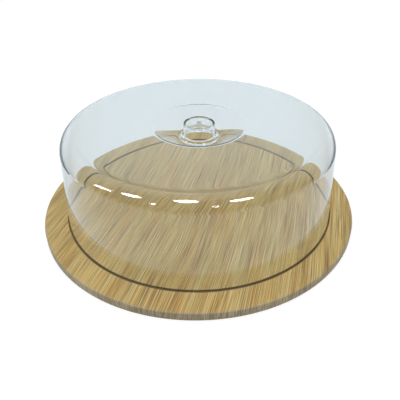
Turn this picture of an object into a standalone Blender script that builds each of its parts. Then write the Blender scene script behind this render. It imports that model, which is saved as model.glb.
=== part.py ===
"""Cake stand dome: a clear lid with a sunken knob, standing in the ring groove of a bamboo board.

Both pieces are turned about the Z axis. Z = 0 is the board's underside, and sizes are in metres.
The lid is one clear piece with its knob, and lifts off straight up along Z.
"""
import math

import bmesh
import bpy
from mathutils import Vector

MM = 0.001

# Board
BOARD_RADIUS = 160.0 * MM
BOARD_THICKNESS = 8.5 * MM
BOARD_TOP_ROUND = 1.35 * MM       # radius of the board's upper edge
BOARD_BOTTOM_ROUND = 1.0 * MM     # radius of the board's lower edge
GROOVE_RADIUS = 135.8 * MM        # middle of the ring groove
GROOVE_WIDTH = 3.6 * MM
GROOVE_DEPTH = 2.6 * MM
GROOVE_FLOOR_ROUND = 1.75 * MM    # inside corners of the groove, whose floor is all but round
GROOVE_LIP_ROUND = 0.3 * MM

# Dome
WALL = 2.0 * MM                   # thickness of the clear plastic
DOME_HEIGHT = 87.5 * MM           # from the board's top to the dome's flat top
WALL_LEAN = math.radians(3.65)    # how far the wall leans in from upright
SHOULDER_ROUND = 13.3 * MM
INNER_SHOULDER_ROUND = 11.0 * MM
RIM_ROUND = 0.85 * MM             # both edges of the rim

# The top thins towards the shoulder: its inner face bends up at this radius
THINNING_RADIUS = 114.0 * MM
THINNING_SLOPE = math.radians(6.0)
THINNING_ROUND = 62.0 * MM

# Dish in the middle of the flat top
DISH_RADIUS = 46.0 * MM           # at its outer edge
DISH_DEPTH = 14.1 * MM
DISH_SLOPE = math.radians(30.5)   # slope of the dish's side, from the horizontal
DISH_LIP_ROUND = 7.0 * MM         # the inner face keeps the wall's thickness
DISH_FLOOR_ROUND = 4.0 * MM

# Knob, hollow and open to the space under the lid
KNOB_RADIUS = 15.15 * MM          # at the top of the knob
KNOB_PROUD = 0.7 * MM             # the knob's top stands this far above the dome's flat top
KNOB_DRAFT = math.radians(3.0)
KNOB_TOP_ROUND = 0.9 * MM
KNOB_HOLLOW_ROUND = 1.5 * MM      # inner corner under the knob's top
KNOB_MOUTH_ROUND = 5.5 * MM       # where the hollow opens under the dish's floor
KNOB_STEP_RADIUS = 19.2 * MM      # low step around the knob's foot
KNOB_STEP_HEIGHT = 1.7 * MM
KNOB_STEP_ROUND = 0.5 * MM
GATE_DIMPLE_RADIUS = 2.6 * MM     # moulding gate mark in the middle of the knob's top
GATE_DIMPLE_DEPTH = 0.5 * MM

SEAT_GAP = 0.3 * MM               # gap between the rim and the floor of the groove

# Mesh fineness
RING_STEPS = 64
CHORD_ERROR = 0.05 * MM           # most that a chord cuts off an arc
MERGE_DISTANCE = 0.01 * MM

# Levels that follow from the driving dimensions
BOARD_TOP = BOARD_THICKNESS
DOME_TOP = BOARD_TOP + DOME_HEIGHT
DISH_FLOOR = DOME_TOP - DISH_DEPTH
KNOB_TOP = DOME_TOP + KNOB_PROUD
GROOVE_FLOOR = BOARD_TOP - GROOVE_DEPTH
RIM_BOTTOM = GROOVE_FLOOR + SEAT_GAP
RIM_RADIUS = GROOVE_RADIUS + WALL / 2


def clear_scene():
    """Remove the objects that the scene starts with."""
    for thing in list(bpy.data.objects):
        bpy.data.objects.remove(thing, do_unlink=True)


def rounded(corners):
    """Points along a bent line. Each corner is (x, z, radius), and its round is an arc of that radius."""
    points = []
    for i, (x, z, radius) in enumerate(corners):
        here = Vector((x, z))
        if radius == 0.0:
            points.append(here)
            continue
        before = (Vector(corners[i - 1][:2]) - here).normalized()
        after = (Vector(corners[i + 1][:2]) - here).normalized()
        opening = before.angle(after)
        turn = math.pi - opening
        centre = here + (before + after).normalized() * (radius / math.sin(opening / 2))
        start = here + before * (radius * math.tan(turn / 2)) - centre
        side = 1.0 if before.x * after.y - before.y * after.x < 0 else -1.0
        widest_step = 2 * math.acos(1 - CHORD_ERROR / radius)
        count = max(2, math.ceil(turn / widest_step))
        for step in range(count + 1):
            angle = side * turn * step / count
            c, s = math.cos(angle), math.sin(angle)
            points.append(centre + Vector((c * start.x - s * start.y, s * start.x + c * start.y)))
    return points


def moved_inwards(corners, distance):
    """The same bent line, moved to the right of its direction. Each corner keeps its radius."""
    moved = []
    last = len(corners) - 1
    for i, (x, z, radius) in enumerate(corners):
        first, second = max(i, 1), min(i, last - 1)
        into = (Vector(corners[first][:2]) - Vector(corners[first - 1][:2])).normalized()
        out = (Vector(corners[second + 1][:2]) - Vector(corners[second][:2])).normalized()
        normal_in, normal_out = Vector((into.y, -into.x)), Vector((out.y, -out.x))
        shift = (normal_in + normal_out) * (distance / (1.0 + normal_in.dot(normal_out)))
        moved.append((x + shift.x, z + shift.y, radius))
    return moved


def material(name, colour, roughness, alpha=1.0, transmission=0.0):
    """One plain Principled material."""
    mat = bpy.data.materials.new(name)
    mat.use_nodes = True
    shader = mat.node_tree.nodes["Principled BSDF"]
    shader.inputs["Base Color"].default_value = (*colour, 1.0)
    shader.inputs["Roughness"].default_value = roughness
    shader.inputs["Metallic"].default_value = 0.0
    shader.inputs["Alpha"].default_value = alpha
    shader.inputs["Transmission Weight"].default_value = transmission
    mat.diffuse_color = (*colour, alpha)
    return mat


def turned(name, profile, mat, collection):
    """A profile in the XZ plane, from axis to axis, turned around Z with a Screw modifier."""
    mesh = bpy.data.meshes.new(name)
    shape = bmesh.new()
    corners = [shape.verts.new((x, 0.0, z)) for x, z in profile]
    for upper, lower in zip(corners, corners[1:]):
        shape.edges.new((upper, lower))
    shape.to_mesh(mesh)
    shape.free()
    mesh.materials.append(mat)
    piece = bpy.data.objects.new(name, mesh)
    collection.objects.link(piece)
    screw = piece.modifiers.new("turn", "SCREW")
    screw.axis = "Z"
    screw.angle = math.tau
    screw.steps = RING_STEPS
    screw.render_steps = RING_STEPS
    screw.use_merge_vertices = True
    screw.merge_threshold = MERGE_DISTANCE
    screw.use_smooth_shade = True
    return piece


def board_profile():
    """Half section of the board: top middle, groove, edge, underside."""
    inner, outer = GROOVE_RADIUS - GROOVE_WIDTH / 2, GROOVE_RADIUS + GROOVE_WIDTH / 2
    return rounded([
        (0.0, BOARD_TOP, 0.0),
        (inner, BOARD_TOP, GROOVE_LIP_ROUND),
        (inner, GROOVE_FLOOR, GROOVE_FLOOR_ROUND),
        (outer, GROOVE_FLOOR, GROOVE_FLOOR_ROUND),
        (outer, BOARD_TOP, GROOVE_LIP_ROUND),
        (BOARD_RADIUS, BOARD_TOP, BOARD_TOP_ROUND),
        (BOARD_RADIUS, 0.0, BOARD_BOTTOM_ROUND),
        (0.0, 0.0, 0.0),
    ])


def knob_side():
    """Where the knob's drafted side would meet the dish's floor."""
    return KNOB_RADIUS + (KNOB_TOP - DISH_FLOOR) * math.tan(KNOB_DRAFT)


def dish_foot():
    """Where the dish's side would meet its floor."""
    return DISH_RADIUS - DISH_DEPTH / math.tan(DISH_SLOPE)


def shoulder_corner():
    """Where the wall would meet the flat top."""
    return RIM_RADIUS - (DOME_TOP - RIM_BOTTOM) * math.tan(WALL_LEAN)


def outer_face():
    """Corners of the lid's outer face: knob, dish, flat top, shoulder, wall, rim."""
    step_top = DISH_FLOOR + KNOB_STEP_HEIGHT
    step_foot = KNOB_RADIUS + (KNOB_TOP - step_top) * math.tan(KNOB_DRAFT)
    return [
        (0.0, KNOB_TOP - GATE_DIMPLE_DEPTH, 0.0),
        (GATE_DIMPLE_RADIUS, KNOB_TOP, 0.0),
        (KNOB_RADIUS, KNOB_TOP, KNOB_TOP_ROUND),
        (step_foot, step_top, KNOB_STEP_ROUND),
        (KNOB_STEP_RADIUS, step_top, KNOB_STEP_ROUND),
        (KNOB_STEP_RADIUS, DISH_FLOOR, KNOB_STEP_ROUND),
        (dish_foot(), DISH_FLOOR, DISH_FLOOR_ROUND),
        (DISH_RADIUS, DOME_TOP, DISH_LIP_ROUND),
        (shoulder_corner(), DOME_TOP, SHOULDER_ROUND),
        (RIM_RADIUS, RIM_BOTTOM, RIM_ROUND),
    ]


def inner_face():
    """Corners of the lid's inner face, one wall in from a plain outer face, from the rim to the knob."""
    face = moved_inwards([
        (0.0, KNOB_TOP, 0.0),
        (KNOB_RADIUS, KNOB_TOP, KNOB_HOLLOW_ROUND),
        (knob_side(), DISH_FLOOR, KNOB_MOUTH_ROUND),
        (dish_foot(), DISH_FLOOR, DISH_FLOOR_ROUND + WALL),
        (DISH_RADIUS, DOME_TOP, DISH_LIP_ROUND - WALL),
        (shoulder_corner(), DOME_TOP, INNER_SHOULDER_ROUND),
        (RIM_RADIUS, RIM_BOTTOM, RIM_ROUND),
    ], WALL)
    shoulder_x, ceiling, radius = face[-2]
    rise = (shoulder_x - THINNING_RADIUS) * math.tan(THINNING_SLOPE)
    face[-2] = (shoulder_x - rise * math.tan(WALL_LEAN), ceiling + rise, radius)
    face[-1] = (face[-1][0], RIM_BOTTOM, RIM_ROUND)
    face.insert(-2, (THINNING_RADIUS, ceiling, THINNING_ROUND))
    return face[::-1]


def build():
    """Build the board and the lid in their places."""
    clear_scene()
    parts = bpy.data.collections.new("cake_stand_dome")
    bpy.context.scene.collection.children.link(parts)
    bamboo = material("bamboo", (0.50, 0.33, 0.15), 0.55)
    clear = material("clear_plastic", (0.90, 0.95, 0.97), 0.05, alpha=0.3, transmission=1.0)
    turned("bamboo_board", board_profile(), bamboo, parts)
    turned("domed_lid", rounded(outer_face() + inner_face()), clear, parts)


build()
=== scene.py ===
"""Looks for a clear cake dome with a sunken knob, standing on a round bamboo board.

Each piece is turned again as a fine mesh around its CAD node, and gets a procedural material.
The pieces' outer sizes and places come from model.glb, their other sizes are given here; all are in metres,
and millimetres are written with MM.
"""
import math

import bpy
from mathutils import Matrix, Vector


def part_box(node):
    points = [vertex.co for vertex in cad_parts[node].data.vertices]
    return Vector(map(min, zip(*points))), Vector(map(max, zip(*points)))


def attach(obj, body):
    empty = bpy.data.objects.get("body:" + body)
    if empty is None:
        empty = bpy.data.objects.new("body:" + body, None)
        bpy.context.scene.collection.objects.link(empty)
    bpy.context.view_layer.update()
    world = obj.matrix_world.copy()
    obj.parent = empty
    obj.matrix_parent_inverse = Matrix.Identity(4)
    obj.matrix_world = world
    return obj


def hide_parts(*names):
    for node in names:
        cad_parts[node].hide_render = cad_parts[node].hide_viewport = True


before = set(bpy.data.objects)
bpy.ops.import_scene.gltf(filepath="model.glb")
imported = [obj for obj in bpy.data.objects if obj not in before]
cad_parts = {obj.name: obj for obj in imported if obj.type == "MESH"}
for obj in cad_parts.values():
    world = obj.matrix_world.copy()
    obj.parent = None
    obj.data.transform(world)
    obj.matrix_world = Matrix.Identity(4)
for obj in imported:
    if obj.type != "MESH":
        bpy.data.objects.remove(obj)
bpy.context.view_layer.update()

MM = 0.001

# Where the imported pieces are
board_low, board_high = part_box("bamboo_board")
lid_low, lid_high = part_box("domed_lid")
BOARD_RADIUS = board_high.x
BOARD_TOP = board_high.z
RIM_RADIUS = lid_high.x
RIM_BOTTOM = lid_low.z
KNOB_TOP = lid_high.z

# Board
TOP_EDGE_ROUND = 1.35 * MM
BOTTOM_EDGE_ROUND = 1.0 * MM
GROOVE_WIDTH = 3.6 * MM
GROOVE_ROUND = 1.75 * MM          # inside corners of the groove, whose floor is all but round
GROOVE_LIP_ROUND = 0.3 * MM
SEAT_GAP = 0.3 * MM               # the rim stands this far above the groove's floor

# Dome
WALL = 2.0 * MM
WALL_LEAN = math.radians(3.65)    # how far the wall leans in from upright
SHOULDER_ROUND = 13.3 * MM
INNER_SHOULDER_ROUND = 11.0 * MM
RIM_ROUND = 0.85 * MM

# The top thins towards the shoulder: its inner face bends up at this radius
THINNING_RADIUS = 114.0 * MM
THINNING_SLOPE = math.radians(6.0)
THINNING_ROUND = 62.0 * MM

# Dish in the middle of the flat top
DISH_RADIUS = 46.0 * MM
DISH_DEPTH = 14.1 * MM
DISH_SLOPE = math.radians(30.5)
DISH_LIP_ROUND = 7.0 * MM
DISH_FLOOR_ROUND = 4.0 * MM

# Knob, hollow and open to the space under the lid
KNOB_RADIUS = 15.15 * MM
KNOB_PROUD = 0.7 * MM             # the knob's top stands this far above the flat top
KNOB_DRAFT = math.radians(3.0)
KNOB_TOP_ROUND = 0.9 * MM
KNOB_HOLLOW_ROUND = 1.5 * MM      # inner corner under the knob's top
KNOB_MOUTH_ROUND = 5.5 * MM       # where the hollow opens under the dish's floor
KNOB_STEP_RADIUS = 19.2 * MM      # low step around the knob's foot
KNOB_STEP_HEIGHT = 1.7 * MM
KNOB_STEP_ROUND = 0.55 * MM
GATE_DIMPLE_RADIUS = 2.6 * MM
GATE_DIMPLE_DEPTH = 0.5 * MM

DOME_TOP = KNOB_TOP - KNOB_PROUD
DISH_FLOOR = DOME_TOP - DISH_DEPTH

# Mesh fineness
TURN_STEPS = 192
ARC_STEP = math.radians(6)
ON_AXIS = 0.0001 * MM             # a point nearer to the axis than this lies on it

# Camera, in front of the stand and above it
CAMERA_PLACE = (0.0, -0.39236, 0.28324)
CAMERA_PITCH = math.radians(35.355)   # below the horizon
CAMERA_YAW = math.radians(3.096)      # to the right
CAMERA_ROLL = math.radians(0.772)
CAMERA_LENS = 39.79
CAMERA_SHIFT = -0.05

# Bamboo. Lengths along its grain are in millimetres, unless MM is written with them
GRAIN_ANGLE = math.radians(74.5)      # the board's grain, counted from +X
STRIP_WIDTH = 8.2                     # glued strips
STREAK_DEPTH = 9.0                    # size of the streaks' pattern from the top down
DRIFT = 2.4                           # how far the grain wanders sideways
DRIFT_LENGTH = 90.0                   # size of that wander down the grain
DRIFT_WIDTH = 40.0                    # and across it
RELIEF_HEIGHT = 0.12 * MM
GROOVE_SHADE_SPREAD = 0.5 * MM              # how far the groove's painted shade spreads past its edges
# painted shade: dark brown in the groove and just past its edges, for the shade in the cut where the lid's
# rim stands
GROOVE_SHADE_COLOUR = (0.17, 0.095, 0.024)
PORE_COLOUR = (0.24, 0.115, 0.03)
RUST_COLOUR = (0.36, 0.17, 0.045)
COOL_CAST = (0.96, 1.03, 1.10)
WARM_CAST = (1.05, 0.97, 0.84)
END_GRAIN_START = 0.985               # Z of the normal where end grain starts to show
END_GRAIN_FULL = 0.90                 # Z of the normal below which only end grain shows

# Layers of streaks in the bamboo: length, width, and the layer's place in the noise
BANDS = (190.0, 11.0, 3.1)
STREAKS = (120.0, 3.4, 11.7)
FIBRES = (60.0, 0.6, 23.3)
WARMTH = (80.0, 5.0, 91.3)
PORES = (22.0, 0.75, 57.3)
RUST = (45.0, 2.6, 41.9)

# Tones of the bamboo, from dark to pale
FACE_TONES = [
    (0.0, (0.23, 0.11, 0.026)),
    (0.30, (0.41, 0.25, 0.077)),
    (0.52, (0.54, 0.355, 0.120)),
    (0.76, (0.65, 0.455, 0.180)),
    (1.0, (0.75, 0.565, 0.265)),
]
END_GRAIN_TONES = [
    (0.0, (0.25, 0.177, 0.092)),
    (0.5, (0.42, 0.330, 0.195)),
    (1.0, (0.59, 0.485, 0.31)),
]

# Clear plastic
PLASTIC_TINT = (0.96, 0.98, 0.985)
PLASTIC_SHADE = 0.94                  # share of the lamps' light that a face lets through, besides the tint
RIPPLE_HEIGHT = 0.04 * MM
SCUFF_HEIGHT = 0.001 * MM
POLISHED = 0.009                      # roughness of untouched plastic
RUBBED = 0.02                         # roughness that rubbed patches add

# Studio
TABLE_SIDE = 0.8
TABLE_FRONT = -0.33
TABLE_BACK = 1.2
CEILING = 2.2
WALL_LIGHT = (0.79, 0.91, 0.96)
ROOM_LIGHT = (0.30, 0.32, 0.33)
FURNITURE_LIGHT = (0.14, 0.15, 0.16)
OVERHEAD_LIGHT = (0.90, 0.94, 0.98)
FURNITURE_TOP = math.radians(12)  # elevation up to which the dark furniture is seen
OVERHEAD_START = math.radians(75)  # elevation from which the pale ceiling is seen
WALL_BLUR = math.radians(3)
WALL_START = -0.10                # Y of the direction where the pale wall behind starts to show
WALL_FULL = 0.30                  # Y of the direction from which it shows fully
STRIP_RADIANCE = 28.0
KEY_RADIANCE = 3.45
FLOOR_COLOUR = (0.88, 0.88, 0.895)
FLOOR_GLOW = 1.12                 # white that the camera sees mixed into the bare floor
FLOOR_GLOW_SHARE = 0.75           # share of that white
FLOOR_DROP = 0.2 * MM             # the floor lies this far under the board


# ---------------------------------------------------------------- turned meshes

def rounded(corners):
    """Points along a bent line. Each corner is (r, z, radius), and its round is an arc of that radius."""
    points = []
    for i, (r, z, radius) in enumerate(corners):
        here = Vector((r, z))
        if radius == 0.0:
            points.append(here)
            continue
        before = (Vector(corners[i - 1][:2]) - here).normalized()
        after = (Vector(corners[i + 1][:2]) - here).normalized()
        opening = before.angle(after)
        turn = math.pi - opening
        centre = here + (before + after).normalized() * (radius / math.sin(opening / 2))
        start = here + before * (radius * math.tan(turn / 2)) - centre
        side = 1.0 if before.x * after.y - before.y * after.x < 0 else -1.0
        count = max(2, math.ceil(turn / ARC_STEP))
        for step in range(count + 1):
            angle = side * turn * step / count
            c, s = math.cos(angle), math.sin(angle)
            points.append(centre + Vector((c * start.x - s * start.y, s * start.x + c * start.y)))
    return points


def moved_inwards(corners, distance):
    """The same bent line, moved to the right of its direction. Each corner keeps its radius."""
    moved = []
    last = len(corners) - 1
    for i, (r, z, radius) in enumerate(corners):
        first, second = max(i, 1), min(i, last - 1)
        into = (Vector(corners[first][:2]) - Vector(corners[first - 1][:2])).normalized()
        out = (Vector(corners[second + 1][:2]) - Vector(corners[second][:2])).normalized()
        normal_in, normal_out = Vector((into.y, -into.x)), Vector((out.y, -out.x))
        shift = (normal_in + normal_out) * (distance / (1.0 + normal_in.dot(normal_out)))
        moved.append((r + shift.x, z + shift.y, radius))
    return moved


def turned(name, profile, material):
    """A closed half section, from axis to axis with its material on the left, turned around Z."""
    vertices, faces, rings = [], [], []
    for r, z in profile:
        if r < ON_AXIS:
            rings.append([len(vertices)] * TURN_STEPS)
            vertices.append((0.0, 0.0, z))
            continue
        rings.append(list(range(len(vertices), len(vertices) + TURN_STEPS)))
        for step in range(TURN_STEPS):
            angle = math.tau * step / TURN_STEPS
            vertices.append((r * math.cos(angle), r * math.sin(angle), z))
    for upper, lower in zip(rings, rings[1:]):
        for step in range(TURN_STEPS):
            following = (step + 1) % TURN_STEPS
            face = [upper[step], lower[step], lower[following], upper[following]]
            faces.append([v for k, v in enumerate(face) if v not in face[:k]])
    mesh = bpy.data.meshes.new(name)
    mesh.from_pydata(vertices, [], faces)
    mesh.materials.append(material)
    mesh.shade_smooth()
    mesh.update()
    piece = bpy.data.objects.new(name, mesh)
    bpy.context.scene.collection.objects.link(piece)
    return piece


def board_profile():
    """Top middle, ring groove, edge, underside."""
    groove_radius = RIM_RADIUS - WALL / 2
    floor = RIM_BOTTOM - SEAT_GAP
    inner, outer = groove_radius - GROOVE_WIDTH / 2, groove_radius + GROOVE_WIDTH / 2
    return rounded([
        (0.0, BOARD_TOP, 0.0),
        (inner, BOARD_TOP, GROOVE_LIP_ROUND),
        (inner, floor, GROOVE_ROUND),
        (outer, floor, GROOVE_ROUND),
        (outer, BOARD_TOP, GROOVE_LIP_ROUND),
        (BOARD_RADIUS, BOARD_TOP, TOP_EDGE_ROUND),
        (BOARD_RADIUS, 0.0, BOTTOM_EDGE_ROUND),
        (0.0, 0.0, 0.0),
    ])


def dish_foot():
    """Where the dish's side would meet its floor."""
    return DISH_RADIUS - DISH_DEPTH / math.tan(DISH_SLOPE)


def shoulder_corner():
    """Where the wall would meet the flat top."""
    return RIM_RADIUS - (DOME_TOP - RIM_BOTTOM) * math.tan(WALL_LEAN)


def knob_side(height):
    """Radius of the knob's drafted side at a height."""
    return KNOB_RADIUS + (KNOB_TOP - height) * math.tan(KNOB_DRAFT)


def outer_face():
    """Corners of the lid's outer face: knob, dish, flat top, shoulder, wall, rim."""
    step_top = DISH_FLOOR + KNOB_STEP_HEIGHT
    return [
        (0.0, KNOB_TOP - GATE_DIMPLE_DEPTH, 0.0),
        (GATE_DIMPLE_RADIUS / 2, KNOB_TOP - GATE_DIMPLE_DEPTH, 2 * GATE_DIMPLE_RADIUS),
        (GATE_DIMPLE_RADIUS, KNOB_TOP, GATE_DIMPLE_RADIUS),
        (KNOB_RADIUS, KNOB_TOP, KNOB_TOP_ROUND),
        (knob_side(step_top), step_top, KNOB_STEP_ROUND),
        (KNOB_STEP_RADIUS, step_top, KNOB_STEP_ROUND),
        (KNOB_STEP_RADIUS, DISH_FLOOR, KNOB_STEP_ROUND),
        (dish_foot(), DISH_FLOOR, DISH_FLOOR_ROUND),
        (DISH_RADIUS, DOME_TOP, DISH_LIP_ROUND),
        (shoulder_corner(), DOME_TOP, SHOULDER_ROUND),
        (RIM_RADIUS, RIM_BOTTOM, RIM_ROUND),
    ]


def inner_face():
    """Corners of the lid's inner face, one wall in from a plain outer face, from the rim to the knob."""
    face = moved_inwards([
        (0.0, KNOB_TOP, 0.0),
        (KNOB_RADIUS, KNOB_TOP, KNOB_HOLLOW_ROUND),
        (knob_side(DISH_FLOOR), DISH_FLOOR, KNOB_MOUTH_ROUND),
        (dish_foot(), DISH_FLOOR, DISH_FLOOR_ROUND + WALL),
        (DISH_RADIUS, DOME_TOP, DISH_LIP_ROUND - WALL),
        (shoulder_corner(), DOME_TOP, INNER_SHOULDER_ROUND),
        (RIM_RADIUS, RIM_BOTTOM, RIM_ROUND),
    ], WALL)
    shoulder_r, ceiling, radius = face[-2]
    rise = (shoulder_r - THINNING_RADIUS) * math.tan(THINNING_SLOPE)
    face[-2] = (shoulder_r - rise * math.tan(WALL_LEAN), ceiling + rise, radius)
    face[-1] = (face[-1][0], RIM_BOTTOM, RIM_ROUND)
    face.insert(-2, (THINNING_RADIUS, ceiling, THINNING_ROUND))
    return face[::-1]


# ---------------------------------------------------------------- materials

class Graph:
    """Adds nodes to a material or a world and joins them. An input takes a socket or a plain value.

    Methods named after a kind of node add one and return its output socket.
    """

    def __init__(self, owner):
        self.owner = owner
        owner.use_nodes = True
        self.tree = owner.node_tree
        self.tree.nodes.clear()

    def add(self, kind, inputs=None, **settings):
        """A new node."""
        node = self.tree.nodes.new(kind)
        for key, value in settings.items():
            setattr(node, key, value)
        for key, value in (inputs or {}).items():
            self.feed(node.inputs[key], value)
        return node

    def feed(self, socket, value):
        """Joins another socket to this one, or gives it a plain value."""
        if isinstance(value, bpy.types.NodeSocket):
            self.tree.links.new(value, socket)
        else:
            socket.default_value = value

    def math(self, operation, a, b=0.0):
        return self.add("ShaderNodeMath", {0: a, 1: b}, operation=operation).outputs[0]

    def vector(self, x, y, z):
        return self.add("ShaderNodeCombineXYZ", {0: x, 1: y, 2: z}).outputs[0]

    def noise(self, vector, scale=1.0, detail=2.0, roughness=0.5):
        inputs = {"Vector": vector, "Scale": scale, "Detail": detail, "Roughness": roughness}
        return self.add("ShaderNodeTexNoise", inputs).outputs[0]

    def weighted(self, layers):
        """Sum of (value, weight) layers."""
        total = 0.0
        for value, weight in layers:
            total = self.math("ADD", total, self.math("MULTIPLY", value, weight))
        return total

    def remap(self, value, low, high, to_low=0.0, to_high=1.0):
        inputs = {0: value, 1: low, 2: high, 3: to_low, 4: to_high}
        return self.add("ShaderNodeMapRange", inputs).outputs[0]

    def ramp(self, value, stops):
        node = self.add("ShaderNodeValToRGB", {0: value})
        stripe = node.color_ramp
        while len(stripe.elements) < len(stops):
            stripe.elements.new(0.5)
        for element, (place, colour) in zip(stripe.elements, stops):
            element.position = place
            element.color = (*colour, 1.0)
        return node.outputs[0]

    def mix(self, factor, a, b, blend="MIX"):
        """Two colours, mixed by a factor."""
        a, b = [(*c, 1.0) if isinstance(c, tuple) else c for c in (a, b)]
        inputs = {"Factor": factor, 6: a, 7: b}
        return self.add("ShaderNodeMix", inputs, data_type="RGBA", blend_type=blend).outputs[2]

    def bump(self, height, distance, strength=1.0, normal=None):
        inputs = {"Height": height, "Distance": distance, "Strength": strength}
        if normal is not None:
            inputs["Normal"] = normal
        return self.add("ShaderNodeBump", inputs).outputs[0]

    def split(self, vector):
        """The X, Y and Z sockets of a vector."""
        return self.add("ShaderNodeSeparateXYZ", {0: vector}).outputs

    def output(self, shader):
        """Joins the shader to the output, and returns the finished material or world."""
        kind = "World" if isinstance(self.owner, bpy.types.World) else "Material"
        self.add("ShaderNodeOutput" + kind, {0: shader})
        return self.owner


def grain_axes(g):
    """(along, across, height) of a point in millimetres, with along running down the grain."""
    place = g.add("ShaderNodeTexCoord").outputs["Object"]
    turn = {"Vector": place, "Angle": -GRAIN_ANGLE}
    straight = g.add("ShaderNodeVectorRotate", turn, rotation_type="Z_AXIS").outputs[0]
    scaled = g.add("ShaderNodeVectorMath", {0: straight, 3: 1.0 / MM}, operation="SCALE").outputs[0]
    return tuple(g.split(scaled))


def stretched(g, grain, layer, detail=3.0):
    """Noise in streaks down the grain, for one of the layers. Each layer's noise has its own place."""
    along, across, height = grain
    length, width, seed = layer
    place = g.vector(
        g.math("MULTIPLY", along, 1.0 / length),
        g.math("MULTIPLY", across, 1.0 / width),
        g.math("MULTIPLY", height, 1.0 / STREAK_DEPTH),
    )
    shift = (seed + 0.5, seed * 1.7, seed * 0.6)
    shifted = g.add("ShaderNodeVectorMath", {0: place, 1: shift}, operation="ADD")
    return g.noise(shifted.outputs[0], detail=detail, roughness=0.55)


def bamboo_face(g, grain):
    """Tone, colour and relief of the sanded faces: glued strips, bands, fibres, pores and rust streaks."""
    strip = g.math("FLOOR", g.math("DIVIDE", grain[1], STRIP_WIDTH))
    strip_tone = g.add("ShaderNodeTexWhiteNoise", {"W": strip}, noise_dimensions="1D").outputs["Value"]
    streaks = stretched(g, grain, STREAKS)
    fibres = stretched(g, grain, FIBRES, detail=1.0)
    bands = stretched(g, grain, BANDS)
    tone = g.weighted([(bands, 0.30), (streaks, 0.20), (fibres, 1.5), (strip_tone, 0.10)])
    tone = g.remap(tone, 0.70, 1.40)
    colour = g.ramp(tone, FACE_TONES)
    warmth = g.remap(stretched(g, grain, WARMTH), 0.35, 0.65)
    cast = g.mix(warmth, COOL_CAST, WARM_CAST)
    colour = g.mix(1.0, colour, cast, "MULTIPLY")
    pores = g.remap(stretched(g, grain, PORES), 0.56, 0.70)
    colour = g.mix(g.math("MULTIPLY", pores, 0.6), colour, PORE_COLOUR)
    rust = g.remap(stretched(g, grain, RUST), 0.64, 0.76)
    colour = g.mix(g.math("MULTIPLY", rust, 0.6), colour, RUST_COLOUR)
    relief = g.weighted([(fibres, 0.7), (streaks, 0.3), (pores, -0.2)])
    return tone, colour, relief


def groove_shade_mask(g):
    """1 where the ring groove is cut, with a soft edge, and 0 elsewhere. It masks the groove's painted
    shade.
    """
    place = g.add("ShaderNodeTexCoord").outputs["Object"]
    flat = g.add("ShaderNodeVectorMath", {0: place, 1: (1.0, 1.0, 0.0)}, operation="MULTIPLY").outputs[0]
    radius = g.add("ShaderNodeVectorMath", {0: flat}, operation="LENGTH").outputs["Value"]
    off = g.math("ABSOLUTE", g.math("SUBTRACT", radius, RIM_RADIUS - WALL / 2))
    return g.remap(off, GROOVE_WIDTH / 2 + GROOVE_SHADE_SPREAD, GROOVE_WIDTH / 2)


def bamboo():
    """Pressed bamboo: sanded faces with straight grain, greyer end grain, and painted shade in the ring
    groove, whose cut is coloured dark brown.
    """
    g = Graph(bpy.data.materials.new("bamboo_oiled"))
    along, across, height = grain_axes(g)
    wander = g.vector(g.math("DIVIDE", along, DRIFT_LENGTH), g.math("DIVIDE", across, DRIFT_WIDTH), 3.0)
    across = g.math("ADD", across, g.math("MULTIPLY", g.noise(wander), DRIFT))
    tone, colour, relief = bamboo_face(g, (along, across, height))
    upward = g.split(g.add("ShaderNodeNewGeometry").outputs["Normal"])[2]
    side = g.remap(g.math("ABSOLUTE", upward), END_GRAIN_START, END_GRAIN_FULL)
    colour = g.mix(side, colour, g.ramp(tone, END_GRAIN_TONES))
    # painted shade: the groove and its edges are coloured dark brown for the shade in the cut
    colour = g.mix(g.math("MULTIPLY", groove_shade_mask(g), 0.9), colour, GROOVE_SHADE_COLOUR)
    shader = g.add("ShaderNodeBsdfPrincipled", {
        "Base Color": colour,
        "Roughness": g.remap(tone, 0.3, 0.7, 0.46, 0.60),
        "IOR": 1.45,
        "Specular IOR Level": 0.35,
        "Normal": g.bump(relief, RELIEF_HEIGHT, 0.55),
    })
    return g.output(shader.outputs[0])


def clear_plastic():
    """Moulded clear plastic with faint ripples and rubbed patches. For shadow rays and diffuse rays it
    is plainly see-through, so that the lamps light the wood under it."""
    g = Graph(bpy.data.materials.new("clear_dome"))
    place = g.add("ShaderNodeTexCoord").outputs["Object"]
    waves = g.noise(place, scale=28.0, detail=1.0)
    scuffs = g.noise(place, scale=900.0, detail=4.0, roughness=0.7)
    patches = g.remap(g.noise(place, scale=45.0, detail=3.0), 0.45, 0.75)
    rippled = g.bump(waves, RIPPLE_HEIGHT)
    shader = g.add("ShaderNodeBsdfPrincipled", {
        "Base Color": (*PLASTIC_TINT, 1.0),
        "Roughness": g.math("ADD", POLISHED, g.math("MULTIPLY", patches, RUBBED)),
        "IOR": 1.49,
        "Transmission Weight": 1.0,
        "Normal": g.bump(scuffs, SCUFF_HEIGHT, 0.5, rippled),
    })
    shade = tuple(c * PLASTIC_SHADE for c in PLASTIC_TINT)
    through = g.add("ShaderNodeBsdfTransparent", {"Color": (*shade, 1.0)})
    path = g.add("ShaderNodeLightPath")
    on_wood = g.math("MAXIMUM", path.outputs["Is Shadow Ray"], path.outputs["Is Diffuse Ray"])
    mixed = g.add("ShaderNodeMixShader", {0: on_wood, 1: shader.outputs[0], 2: through.outputs[0]})
    return g.output(mixed.outputs[0])


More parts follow.
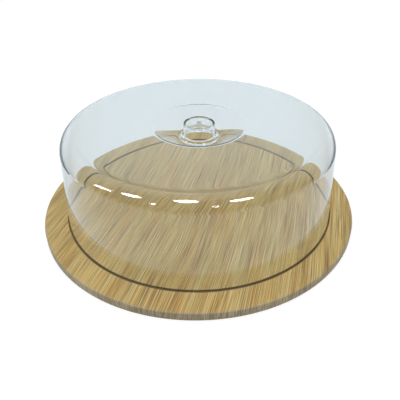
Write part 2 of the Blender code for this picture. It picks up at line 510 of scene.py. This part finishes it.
def studio_floor():
    """Pale floor, seen as plain white by the camera and as pale grey through the dome."""
    g = Graph(bpy.data.materials.new("floor_white"))
    matt = g.add("ShaderNodeBsdfDiffuse", {"Color": (*FLOOR_COLOUR, 1.0)})
    glow = g.add("ShaderNodeEmission", {"Color": (1.0, 1.0, 1.0, 1.0), "Strength": FLOOR_GLOW})
    direct = g.add("ShaderNodeLightPath").outputs["Is Camera Ray"]
    share = g.math("MULTIPLY", direct, FLOOR_GLOW_SHARE)
    mixed = g.add("ShaderNodeMixShader", {0: share, 1: matt.outputs[0], 2: glow.outputs[0]})
    return g.output(mixed.outputs[0])


# ---------------------------------------------------------------- studio

def add_floor():
    """A pale table top under the stand, which ends a little in front of it."""
    x, front, back = TABLE_SIDE, TABLE_FRONT, TABLE_BACK
    mesh = bpy.data.meshes.new("studio_floor")
    mesh.from_pydata([(-x, front, 0), (x, front, 0), (x, back, 0), (-x, back, 0)], [], [(0, 1, 2, 3)])
    mesh.materials.append(studio_floor())
    floor = bpy.data.objects.new("studio_floor", mesh)
    floor.location.z = -FLOOR_DROP
    bpy.context.scene.collection.objects.link(floor)


def add_world():
    """White behind the stand for the camera. For light and reflections, a dim room with a pale wall
    behind the stand, a pale ceiling overhead and dark furniture round the other sides."""
    g = Graph(bpy.data.worlds.new("studio"))
    _, back, up = g.split(g.add("ShaderNodeTexCoord").outputs["Generated"])
    above = g.remap(up, math.sin(FURNITURE_TOP - WALL_BLUR), math.sin(FURNITURE_TOP + WALL_BLUR))
    overhead = g.remap(up, math.sin(OVERHEAD_START - WALL_BLUR), math.sin(OVERHEAD_START + WALL_BLUR))
    behind = g.remap(back, WALL_START, WALL_FULL)
    colour = g.mix(above, FURNITURE_LIGHT, ROOM_LIGHT)
    colour = g.mix(overhead, colour, OVERHEAD_LIGHT)
    colour = g.mix(behind, colour, WALL_LIGHT)
    room = g.add("ShaderNodeBackground", {0: colour})
    backdrop = g.add("ShaderNodeBackground", {0: (1.0, 1.0, 1.0, 1.0)})
    direct = g.add("ShaderNodeLightPath").outputs["Is Camera Ray"]
    chosen = g.add("ShaderNodeMixShader", {0: direct, 1: room.outputs[0], 2: backdrop.outputs[0]})
    bpy.context.scene.world = g.output(chosen.outputs[0])


def add_lamp(name, start, end, width, radiance):
    """A flat lamp overhead that faces the stand and, seen from there, reaches from start to end."""
    start, end = Vector((*start, CEILING)), Vector((*end, CEILING))
    first, last = start.normalized(), end.normalized()
    middle = (first + last) * (CEILING / (first.z + last.z))
    length = (last - first).length * middle.length
    lamp = bpy.data.lights.new(name, "AREA")
    lamp.shape = "ELLIPSE"
    lamp.size, lamp.size_y = length, width
    lamp.energy = radiance * math.pi * length * width * math.pi / 4
    holder = bpy.data.objects.new(name, lamp)
    out = middle.normalized()
    run = (last - first).normalized()
    run = (run - out * run.dot(out)).normalized()
    turn = Matrix((run, out.cross(run), out)).transposed().to_4x4()
    holder.matrix_world = Matrix.Translation(middle) @ turn
    bpy.context.scene.collection.objects.link(holder)
    return holder


def add_lamps():
    """Ceiling strips in front of the stand draw the streaks on the dome's shoulder. The wood is lit
    by a broad soft lamp, which doesn't show in the plastic."""
    strips = [
        ("strip_middle", (-0.60, -0.91), (-0.03, -0.91), 0.80),
        ("strip_right", (0.84, -1.55), (1.43, -1.14), 0.76),
        ("strip_left", (-5.85, -0.24), (-3.20, -0.82), 0.58),
        ("strip_left_inner", (-2.16, -0.58), (-1.58, -1.04), 0.70),
        ("small_left", (-2.45, -2.95), (-2.28, -3.35), 0.45),
        ("small_right", (0.60, -3.52), (0.88, -3.70), 0.70),
    ]
    for name, start, end, width in strips:
        strip = add_lamp(name, start, end, width, STRIP_RADIANCE)
        strip.visible_diffuse = False
    soft = add_lamp("soft_key", (-1.1, -0.5), (0.9, -0.7), 1.4, KEY_RADIANCE)
    soft.visible_glossy = False
    soft.visible_transmission = False


def add_camera():
    """The photo's camera: turned right, tilted down, then rolled."""
    camera = bpy.data.cameras.new("camera")
    camera.lens = CAMERA_LENS
    camera.sensor_width = 36.0
    camera.shift_x = CAMERA_SHIFT
    camera.clip_start = 0.01
    holder = bpy.data.objects.new("camera", camera)
    flat_right = Vector((math.cos(CAMERA_YAW), -math.sin(CAMERA_YAW), 0.0))
    flat_ahead = Vector((math.sin(CAMERA_YAW), math.cos(CAMERA_YAW), 0.0))
    up = Vector((0.0, 0.0, 1.0))
    ahead = math.cos(CAMERA_PITCH) * flat_ahead - math.sin(CAMERA_PITCH) * up
    over = math.sin(CAMERA_PITCH) * flat_ahead + math.cos(CAMERA_PITCH) * up
    right = math.cos(CAMERA_ROLL) * flat_right + math.sin(CAMERA_ROLL) * over
    top = -math.sin(CAMERA_ROLL) * flat_right + math.cos(CAMERA_ROLL) * over
    turn = Matrix((right, top, -ahead)).transposed().to_4x4()
    holder.matrix_world = Matrix.Translation(CAMERA_PLACE) @ turn
    bpy.context.scene.collection.objects.link(holder)
    bpy.context.scene.camera = holder


def set_light_paths():
    """Plain colours, and enough bounces for a ray to cross every clear wall."""
    scene = bpy.context.scene
    scene.view_settings.view_transform = "Standard"
    scene.cycles.max_bounces = 24
    scene.cycles.diffuse_bounces = 4
    scene.cycles.glossy_bounces = 8
    scene.cycles.transmission_bounces = 24
    scene.cycles.transparent_max_bounces = 24
    scene.cycles.caustics_reflective = False
    scene.cycles.caustics_refractive = False
    scene.cycles.use_denoising = True


def add_piece(name, profile, material, node, body):
    """A turned piece that stands in for a CAD node and moves with its body."""
    piece = turned(name, profile, material)
    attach(piece, body)
    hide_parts(node)


def build():
    """The two pieces, the table, the light and the camera."""
    lid_profile = rounded(outer_face() + inner_face())
    add_piece("board", board_profile(), bamboo(), "bamboo_board", "board")
    add_piece("lid", lid_profile, clear_plastic(), "domed_lid", "lid")
    add_floor()
    add_world()
    add_lamps()
    add_camera()
    set_light_paths()


build()
